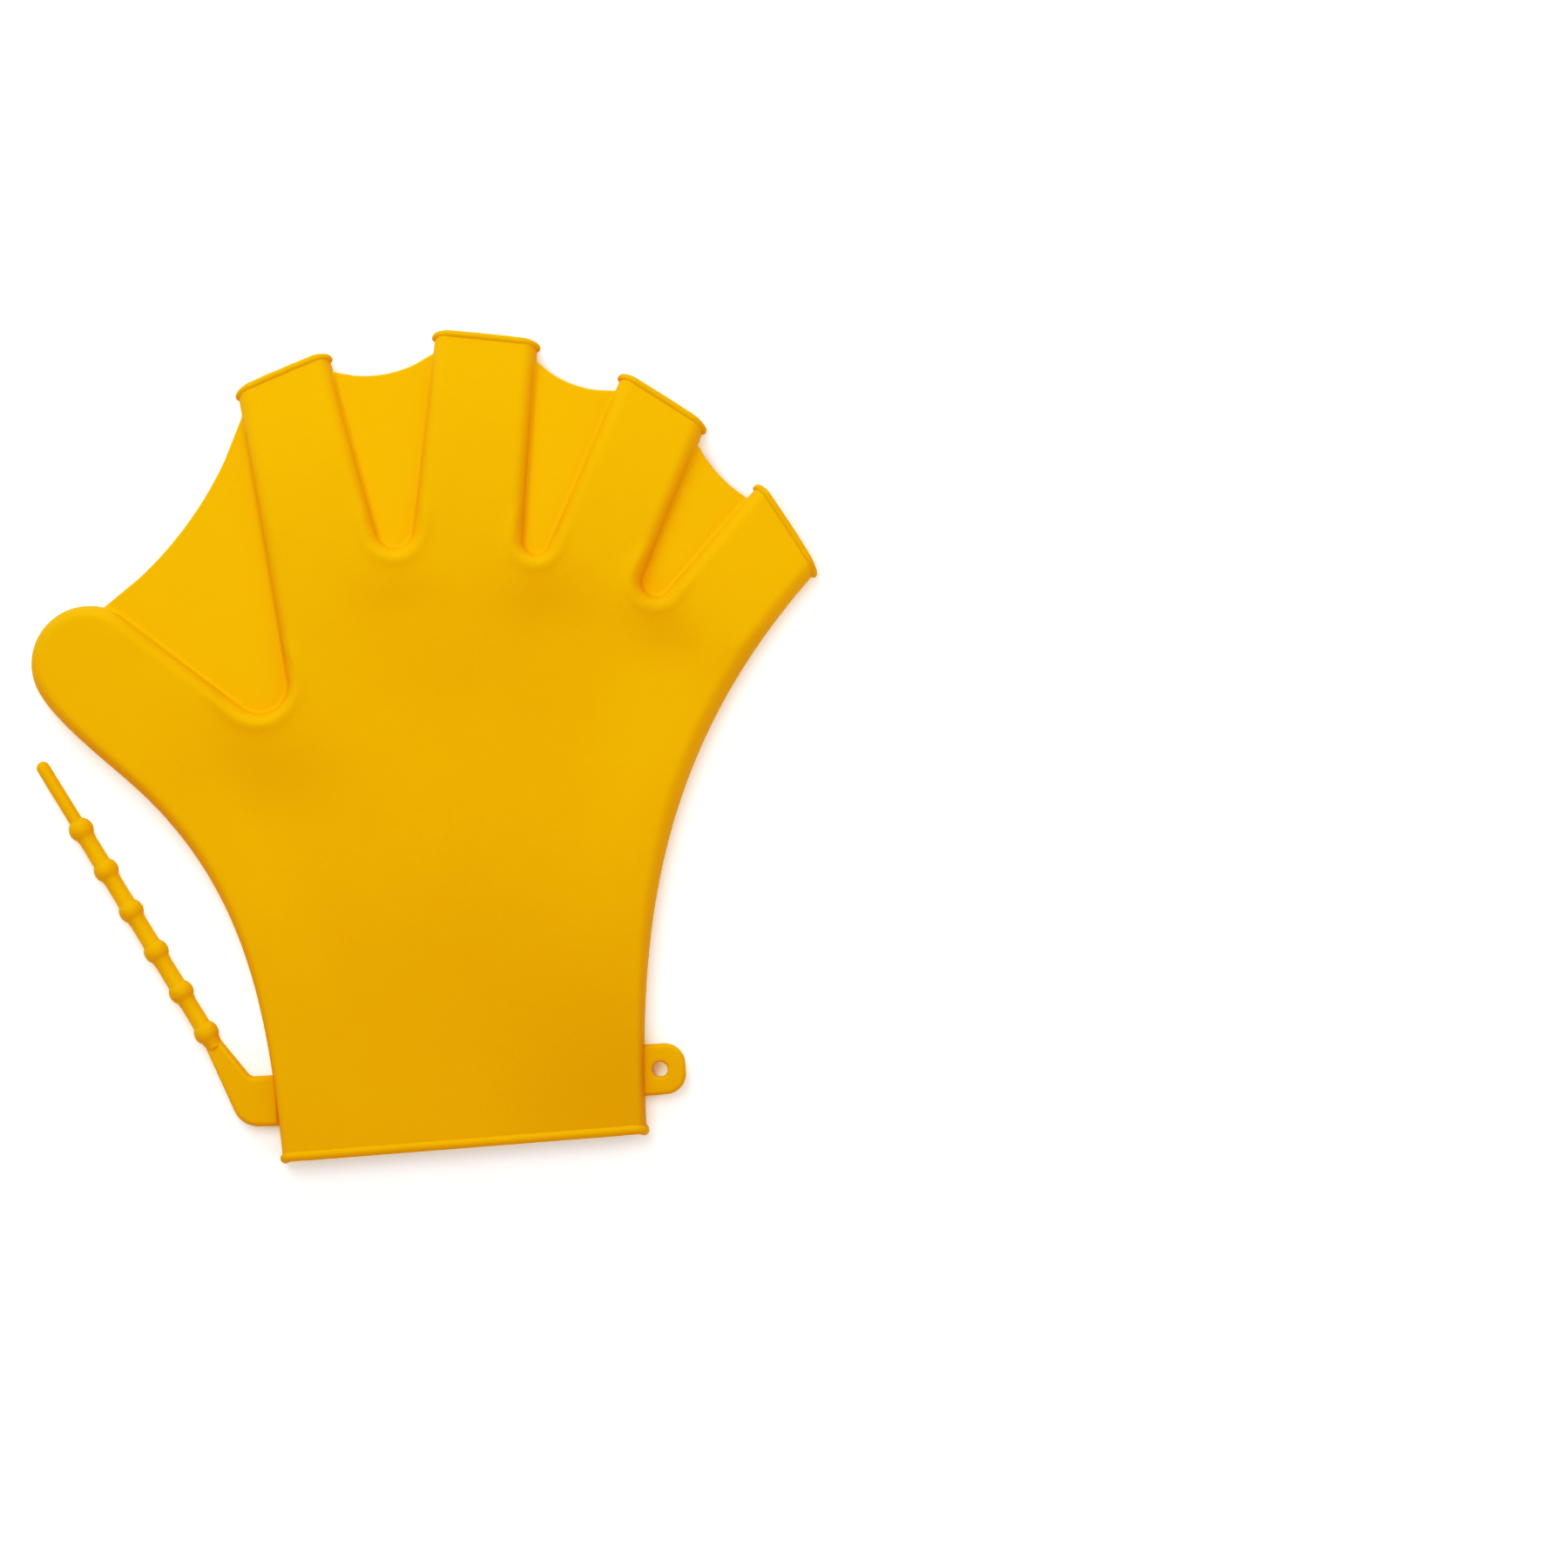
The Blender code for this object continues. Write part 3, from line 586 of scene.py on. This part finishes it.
def makeRim(loop):
    choose(loop)
    middle = sum((v.co for v in loop.data.vertices), Vector()) / len(loop.data.vertices)
    nearest = min(digits.values(), key=lambda digit: (digit.end - middle.xy).length)
    opening, across = nearest.row.name, nearest.mouth
    bead, cornerOut = rims["fingerBead"], rims["cornerOut"]
    if middle.y < hand["cuffLength"]:
        opening, across = "cuff", Vector((1, 0))
        bead, cornerOut = rims["cuffBead"], 0.0
    loop.name = opening + "_bead"
    half = hand["wall"] / 2
    width = max(abs((v.co - middle).xy.dot(across)) for v in loop.data.vertices)
    depth = max(abs(v.co.z - middle.z) for v in loop.data.vertices)
    for v in loop.data.vertices:  # from the outside of the wall to its middle, and up off the table
        side = (v.co - middle).xy.dot(across) / width
        swell = cornerOut * easing(abs(side), rims["cornerFrom"], 1.0)
        v.co.xy -= across * side * (half - swell)
        v.co.z -= (v.co.z - middle.z) / depth * half
        v.co.z = max(v.co.z, bead / 2)
    bpy.ops.object.convert(target='CURVE')
    walkEvenly(loop.data, rims["step"])
    loop.data.bevel_depth = bead / 2
    loop.data.bevel_resolution = rims["roundness"]
    bpy.ops.object.convert(target='MESH')
    return loop, opening + "_rim"


# Webs: flat sheets at the middle of the fingers' depth, whose free edge curves inwards

webs = {
    "thickness": 0.0016,
    "tuck": 0.0009,              # how far a web reaches into the fingers' wall
    "endTuck": 1.5,              # and at the ends of its free edge this many times as far
    "fillet": 0.0009,            # a web swells where it runs into a finger, from this far out
    "filletPull": 640.0,         # its height is this times the square of the way in, in metres
    "filletRings": 7,
    "ringWidth": 0.00028,
    "endCuts": 5,                # cuts beside each finger where the fillet meets the free edge
    "pastEnd": 0.0030,           # the fillet's lines run on this far, so that it ends in full height
    "edgeRound": 0.0004,
    "edgeRings": 4,
    "edgeSteps": 26,
    "longSteps": 5,              # at each end of the free edge this many are one, for the insets
    "longArcs": 3,               # and so are these where the thumb's web meets its round end
    "gridStep": 0.0045,
}


def webSides(web):  # the line along which a web meets its two fingers
    left = digits[web.left]
    right = digits[web.right]
    start = left.rootRight.lerp(left.endRight, web.leftEnd)
    end = right.rootLeft.lerp(right.endLeft, web.rightEnd)
    crease = []
    if web.left == "thumb":
        radius = left.endRight - left.end
        past = math.degrees((start - left.endRight).length / radius.length)
        start = left.end + turned(radius, past)
        crease = arcPoints(left.end, start, -past)[1:]
    crease += filletPoints(*crotch(web), web.radius * hand["crotchRadius"])
    return [start, *crease, end]


def webOutline(web):
    start, *crease, end = webSides(web)
    if web.left == "thumb":
        crease = crease[webs["longArcs"]:]
    along = (end - start).normalized()
    down = Vector((along.y, -along.x))
    middle = start.lerp(end, 0.5) + down * 2 * web.sag * (end - start).length
    freeEdge = []
    for k in range(webs["edgeSteps"] + 1):
        t = k / webs["edgeSteps"]
        freeEdge.append(start * (1 - t) ** 2 + middle * 2 * t * (1 - t) + end * t * t)
    first = start + (start - freeEdge[1]).normalized() * webs["tuck"] * webs["endTuck"]
    last = end + (end - freeEdge[-2]).normalized() * webs["tuck"] * webs["endTuck"]
    sunk = []
    path = [first, *crease, last]
    for before, point, after in zip(path, path[1:], path[2:]):
        run = (after - before).normalized()
        sunk.append(point + Vector((run.y, -run.x)) * webs["tuck"])
    return [first, *sunk, last, *reversed(freeEdge[webs["longSteps"]:-webs["longSteps"]])]


def filletRise(point, sides):  # how much thicker the web is on each side, near a finger
    nearest = 1.0
    for a, b in zip(sides, sides[1:]):
        share = min(1.0, max(0.0, (point - a).dot(b - a) / (b - a).length_squared))
        foot = a.lerp(b, share)
        if (foot - point).length < abs(nearest):
            nearest = math.copysign((foot - point).length, (b - a).cross(point - foot))
    nearest = max(nearest, -webs["tuck"] / 2)  # deeper in the wall it stays below the skin
    return webs["filletPull"] * max(0.0, webs["fillet"] - nearest) ** 2


def makeWeb(web):
    outline = evenly(webOutline(web), webs["gridStep"])
    sheet = flatPiece(web.name.replace("_web", "_sheet"), outline)
    bpy.ops.object.mode_set(mode='EDIT')
    bpy.ops.mesh.select_mode(type='FACE')
    bpy.ops.mesh.select_all(action='SELECT')
    half = webs["thickness"] / 2
    roundEdge(webs["edgeRound"], half, webs["edgeRings"])
    for _ in range(webs["filletRings"]):
        bpy.ops.mesh.inset(thickness=webs["ringWidth"], depth=0, use_boundary=True,
                           use_even_offset=True)
    gridTop(sheet, outline, half - tiny, webs["gridStep"])
    first, *between, last = webSides(web)
    sides = [first, *between, last]
    for end, beside, turn in ((first, between[0], 90), (last, between[-1], -90)):
        along = (beside - end).normalized()
        inwards = turned(along, turn)
        sides.insert(0 if end is first else len(sides), end - along * webs["pastEnd"])
        for k in range(webs["endCuts"]):
            share = k / (webs["endCuts"] - 1)
            bpy.ops.mesh.select_all(action='SELECT')
            bpy.ops.mesh.bisect(plane_co=(*(end + inwards * webs["fillet"] * share), 0),
                                plane_no=(*inwards, 0))
    bpy.ops.object.mode_set(mode='OBJECT')
    for v in sheet.data.vertices:
        v.co.z *= 1 + filletRise(v.co.xy, sides) / half
    mirrorDown(sheet)
    sheet.location.z = hand["halfDepth"]
    return sheet


# Tab beside the wrist, with the eyelet that the strap is pulled through

tab = {
    "width": 0.0134,
    "sunk": 0.0010,              # how far its root reaches into the wall of the cuff
    "cornerRadius": 0.0054,
    "thickness": 0.0030,
    "centre": 0.0157,            # wrist edge to the middle of the tab
    "hole": 0.0040,              # diameter
    "holeOut": 0.0048,           # side of the cuff to the hole's centre
    "edgeRound": 0.0011,
    "edgeRings": 6,
    "holeRound": 0.0007,
    "holeRings": 4,
    "faceRings": 2,              # on the flat face round the hole
    "faceRing": 0.0008,
    "fanStep": 0.0017,           # edge length, for even rays towards the hole
}


def makeTab():
    side = hand["cuffWidth"] / 2
    hole = Vector((side + tab["holeOut"], tab["centre"]))
    low = tab["centre"] - tab["width"] / 2
    high = tab["centre"] + tab["width"] / 2
    end = hole.x + tab["width"] / 2
    rootHigh, rootLow, endLow, endHigh = [Vector(point) for point in (
        (side - tab["sunk"], high), (side - tab["sunk"], low), (end, low), (end, high))]
    outline = [rootHigh, rootLow]
    outline += filletPoints(rootLow, endLow, endHigh, tab["cornerRadius"])
    outline += filletPoints(endLow, endHigh, rootHigh, tab["cornerRadius"])
    fan = []
    for point, after in zip(outline, outline[1:] + outline[:1]):
        cuts = max(1, round((after - point).length / tab["fanStep"]))
        fan += [point.lerp(after, n / cuts) for n in range(cuts)]
    piece = flatPiece("eyelet_plate", fan)
    bpy.ops.object.mode_set(mode='EDIT')
    bpy.ops.mesh.select_mode(type='FACE')
    bpy.ops.mesh.select_all(action='SELECT')
    top = tab["thickness"] / 2
    lip = tab["holeRound"]
    roundEdge(tab["edgeRound"], top, tab["edgeRings"])
    rings = tab["holeRings"]
    for k in range(-tab["faceRings"], rings + 2):  # over the flat face, the eyelet's lip and its bore
        bpy.ops.mesh.extrude_region()
        angle = math.pi / 2 * max(0, k) / rings
        radius = tab["hole"] / 2 + lip * (1 - math.sin(angle)) + tab["faceRing"] * max(0, -k)
        height = top - lip * (1 - math.cos(angle)) if k <= rings else 0
        mesh = bmesh.from_edit_mesh(piece.data)
        for v in {v for face in mesh.faces if face.select for v in face.verts}:
            spoke = (v.co.xy - hole).normalized()
            v.co = (*(hole + spoke * radius), height)
        bmesh.update_edit_mesh(piece.data)
    bpy.ops.mesh.delete(type='ONLY_FACE')
    mirrorDown(piece)
    piece.location.z = hand["cuffHalfDepth"]
    return piece


# Arm: leaves the cuff sideways, turns up beside the hand and narrows to the strap

arm = {
    "width": 0.0134,
    "thickness": 0.0034,
    "centre": 0.0154,            # wrist edge to the middle of the arm
    "innerCorner": (0.51, 0.51, 0.15),    # out, up and corner radius, in widths of the arm
    "outerCorner": (0.765, -0.465, 0.52),
    "edgeRound": 0.0014,
    "edgeRings": 6,
    "innerRing": 0.0002,         # a narrow flat ring that holds the rounding's shade off the flat
    "outlineStep": 0.0015,
    "gridStep": 0.0030,
}
strap = {
    "lean": -27.35,              # degrees from +Y
    "firstBead": (1.310, 1.43),  # out and up from the arm's root, in widths of the arm
    "beads": 6,
    "pitch": 0.0125,
    "rod": 0.0045,
    "neck": 1.03,                # a bead's upper end, in rod diameters
    "collar": 0.0049,            # where a bead begins
    "flare": 0.0020,             # length over which the rod widens to the next bead
    "flareSteps": (0.6, 0.25, 0.0),
    "bead": 0.0065,
    "tail": 0.0208,              # last bead to the tip
    "tailWidth": 0.0035,
    "stem": 0.83,                # first bead to the arm's end, in rod diameters
    "sunk": 0.20,                # and from there to the rod's base inside the arm
    "baseWidth": 0.92,           # of the rod at its base
    "sides": 32,
    "beadSteps": 10,
    "tipStep": 15,               # degrees
    "clearance": 0.0002,         # last bead to the table
}


def armPlace(out, up):
    return Vector((-hand["cuffWidth"] / 2 - out * arm["width"], arm["centre"] + up * arm["width"]))


def makeArm():
    axis = heading(strap["lean"])
    across = heading(strap["lean"] + 90)
    end = armPlace(*strap["firstBead"]) - axis * strap["stem"] * strap["rod"]
    endLeft = end - across * strap["rod"] / 2
    endRight = end + across * strap["rod"] / 2
    rootLow = armPlace(0, -0.5)
    rootHigh = armPlace(0, 0.5)
    outline = [rootLow, rootHigh]
    out, up, radius = arm["innerCorner"]
    outline += filletPoints(rootHigh, armPlace(out, up), endRight, radius * arm["width"])
    outline += [endRight, endLeft]
    out, up, radius = arm["outerCorner"]
    outline += filletPoints(endLeft, armPlace(out, up), rootLow, radius * arm["width"])
    outline.reverse()
    piece = flatPiece("strap_root", evenly(outline, arm["outlineStep"]))
    bpy.ops.object.mode_set(mode='EDIT')
    bpy.ops.mesh.select_mode(type='FACE')
    bpy.ops.mesh.select_all(action='SELECT')
    roundEdge(arm["edgeRound"], arm["thickness"] / 2, arm["edgeRings"])
    bpy.ops.mesh.inset(thickness=arm["innerRing"], depth=0, use_boundary=True, use_even_offset=True)
    gridTop(piece, outline, arm["thickness"] / 2 - tiny, arm["gridStep"])
    mirrorDown(piece)
    piece.location.z = hand["cuffHalfDepth"]
    return piece


def strapProfile():  # radius and height, from the tip down to the base inside the arm
    first = (strap["stem"] + strap["sunk"]) * strap["rod"]
    last = first + (strap["beads"] - 1) * strap["pitch"]
    tip = strap["tailWidth"] / 2
    rod = strap["rod"] / 2
    collar = strap["collar"] / 2
    ball = strap["bead"] / 2
    top = last + strap["tail"]
    profile = [(tip * math.sin(math.radians(a)), top - tip + tip * math.cos(math.radians(a)))
               for a in range(0, 91, strap["tipStep"])]
    for k in reversed(range(strap["beads"])):
        centre = first + k * strap["pitch"]
        neck = tip if k == strap["beads"] - 1 else rod * strap["neck"]
        upper = math.acos(neck / ball)
        lower = -math.acos(collar / ball)
        for n in range(strap["beadSteps"] + 1):
            angle = upper + (lower - upper) * n / strap["beadSteps"]
            profile.append((ball * math.cos(angle), centre + ball * math.sin(angle)))
        if k:
            crease = profile[-1][1]
            profile += [(rod + (collar - rod) * share ** 2, crease - strap["flare"] * (1 - share))
                        for share in strap["flareSteps"]]
    return profile + [(rod * strap["baseWidth"], 0), (0, 0)]


def makeStrap():
    profile = strapProfile()
    startClean()
    bpy.ops.mesh.primitive_circle_add(vertices=len(profile), radius=0.01, fill_type='NOTHING')
    piece = bpy.context.active_object
    piece.name = "beaded_strap"
    for corner, (radius, height) in zip(piece.data.vertices, profile):
        corner.co = (radius, 0, height)
    bpy.ops.object.mode_set(mode='EDIT')
    bpy.ops.mesh.select_mode(type='EDGE')
    bpy.ops.mesh.select_all(action='DESELECT')
    mesh = bmesh.from_edit_mesh(piece.data)
    for edge in mesh.edges:  # the edge along the axis would only make slivers
        if all(v.co.x < tiny for v in edge.verts):
            edge.select_set(True)
    bmesh.update_edit_mesh(piece.data)
    bpy.ops.mesh.delete(type='EDGE')
    bpy.ops.mesh.select_all(action='SELECT')
    bpy.ops.mesh.spin(steps=strap["sides"], angle=math.tau, center=(0, 0, 0), axis=(0, 0, 1))
    bpy.ops.mesh.select_all(action='SELECT')
    bpy.ops.mesh.remove_doubles(threshold=tiny)
    bpy.ops.mesh.normals_make_consistent(inside=False)
    bpy.ops.object.mode_set(mode='OBJECT')
    flat = heading(strap["lean"])
    hidden = (strap["stem"] + strap["sunk"]) * strap["rod"]
    base = armPlace(*strap["firstBead"]) - flat * hidden
    length = hidden + (strap["beads"] - 1) * strap["pitch"]
    drop = hand["cuffHalfDepth"] - strap["bead"] / 2 - strap["clearance"]
    direction = Vector((flat.x * length, flat.y * length, -drop))
    piece.rotation_euler = direction.to_track_quat('Z', 'Y').to_euler()
    piece.location = (base.x, base.y, hand["cuffHalfDepth"])
    return piece


# The pieces are made and set down

low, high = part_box("cuff_rim")
place = Vector(((low.x + high.x) / 2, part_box("cuff_shell")[1].y - hand["cuffLength"], 0))
skin = makeSkin()
for loop in takeOpenings(skin):
    rim, node = makeRim(loop)
    setDown(rim, siliconeFinish, node)
giveWall(skin)
# painted light and painted shade on the skin
markPaintedLightAndShade(skin, skinPaintedLightAndShade)
for web in webTable:
    sheet = makeWeb(web)
    # painted light on each web, for light coming through the single sheet
    markPaintedLightAndShade(sheet, lambda point: web.thin)
    setDown(sheet, siliconeFinish, web.name)
setDown(makeTab(), siliconeFinish, "eyelet_tab")
setDown(makeArm(), siliconeFinish, "strap_arm")
setDown(makeStrap(), siliconeFinish, "bead_strap")
setDown(skin, siliconeFinish, "palm_shell", "cuff_shell", "thumb_stall", "index_stall",
        "middle_stall", "ring_stall", "little_stall")


# Table, light and camera

studio = {
    "tableSize": 20.0,
    "tableColour": "#FAF9FA",    # matt laminate, with no shine of its own
    "tableRoughness": 0.9,
    "bleach": 1.42,              # to the eye the table is this much whiter than it lights the glove
    "keyPower": 0.53,            # soft light low over the knuckles, so the wrist gets less of it
    "keySize": 0.24,
    "keyPlace": (-0.03, 0.07, 0.38),
    "sidePower": 6.4,            # and one from beyond the fingers, to the left
    "sideSize": 0.60,
    "sidePlace": (-0.30, 1.12, 0.62),
    "fillPower": 0.45,           # a weak one opens the folds on the right
    "fillSize": 0.50,
    "fillPlace": (0.55, 0.0, 0.36),
    "tentStrength": 0.61,        # light from the white walls all round
    "tentColour": "#FFFAF6",
    "cameraPlace": (0.0908, -0.0182, 0.900),
    "filmWidth": 36.0,           # mm
    "cameraTurn": -4.5,          # degrees, so that the wrist edge rises to the right as in the photo
    "viewWidth": 0.4104,         # what the frame takes in at the middle of the hand's depth
    "toneCurve": ((0.0, 0.0), (0.177, 0.119), (0.354, 0.325), (0.531, 0.584), (0.743, 0.760),
                  (1.062, 1.0)),
}

startClean()
bpy.ops.mesh.primitive_plane_add(size=studio["tableSize"])
table = bpy.context.active_object
table.name = "table"
laminate = bpy.data.materials.new("white_laminate")
laminate.use_nodes = True
laminateShader = laminate.node_tree.nodes["Principled BSDF"]
laminateShader.inputs["Roughness"].default_value = studio["tableRoughness"]
laminateShader.inputs["Specular IOR Level"].default_value = 0.0
plain = linear(studio["tableColour"])
ray = addNode(laminate.node_tree, "ShaderNodeLightPath", {})
white = mixColours(laminate.node_tree, ray.outputs["Is Camera Ray"], plain,
                   [part * studio["bleach"] for part in plain])
laminate.node_tree.links.new(white, laminateShader.inputs["Base Color"])
table.data.materials.append(laminate)

world = bpy.data.worlds.new("tent")
world.use_nodes = True
walls = world.node_tree.nodes["Background"]
walls.inputs["Color"].default_value = linear(studio["tentColour"])
walls.inputs["Strength"].default_value = studio["tentStrength"]
bpy.context.scene.world = world

for light in ("key", "side", "fill"):
    bpy.ops.object.light_add(type='AREA', location=studio[light + "Place"])
    lamp = bpy.context.active_object
    lamp.name = light
    lamp.data.shape = 'DISK'
    lamp.data.size = studio[light + "Size"]
    lamp.data.energy = studio[light + "Power"]
    lamp.rotation_euler = (-lamp.location).to_track_quat('-Z', 'Y').to_euler()

bpy.ops.object.camera_add(location=studio["cameraPlace"],
                          rotation=(0, 0, math.radians(studio["cameraTurn"])))
camera = bpy.context.active_object
camera.name = "camera"
camera.data.sensor_width = studio["filmWidth"]
distance = studio["cameraPlace"][2] - hand["halfDepth"]
camera.data.lens = studio["filmWidth"] * distance / studio["viewWidth"]
bpy.context.scene.camera = camera
display = bpy.context.scene.view_settings  # a camera's tone curve: firm shadows, soft highlights
display.view_transform = 'Standard'
display.use_curve_mapping = True
display.curve_mapping.clip_max_x = studio["toneCurve"][-1][0]
display.curve_mapping.use_clip = False
curve = display.curve_mapping.curves[3]  # the one for all three colours together
for dark, shown in studio["toneCurve"][1:-1]:
    curve.points.new(dark, shown)
curve.points[-1].location = studio["toneCurve"][-1]
display.curve_mapping.update()
print("set the table, lights and camera")
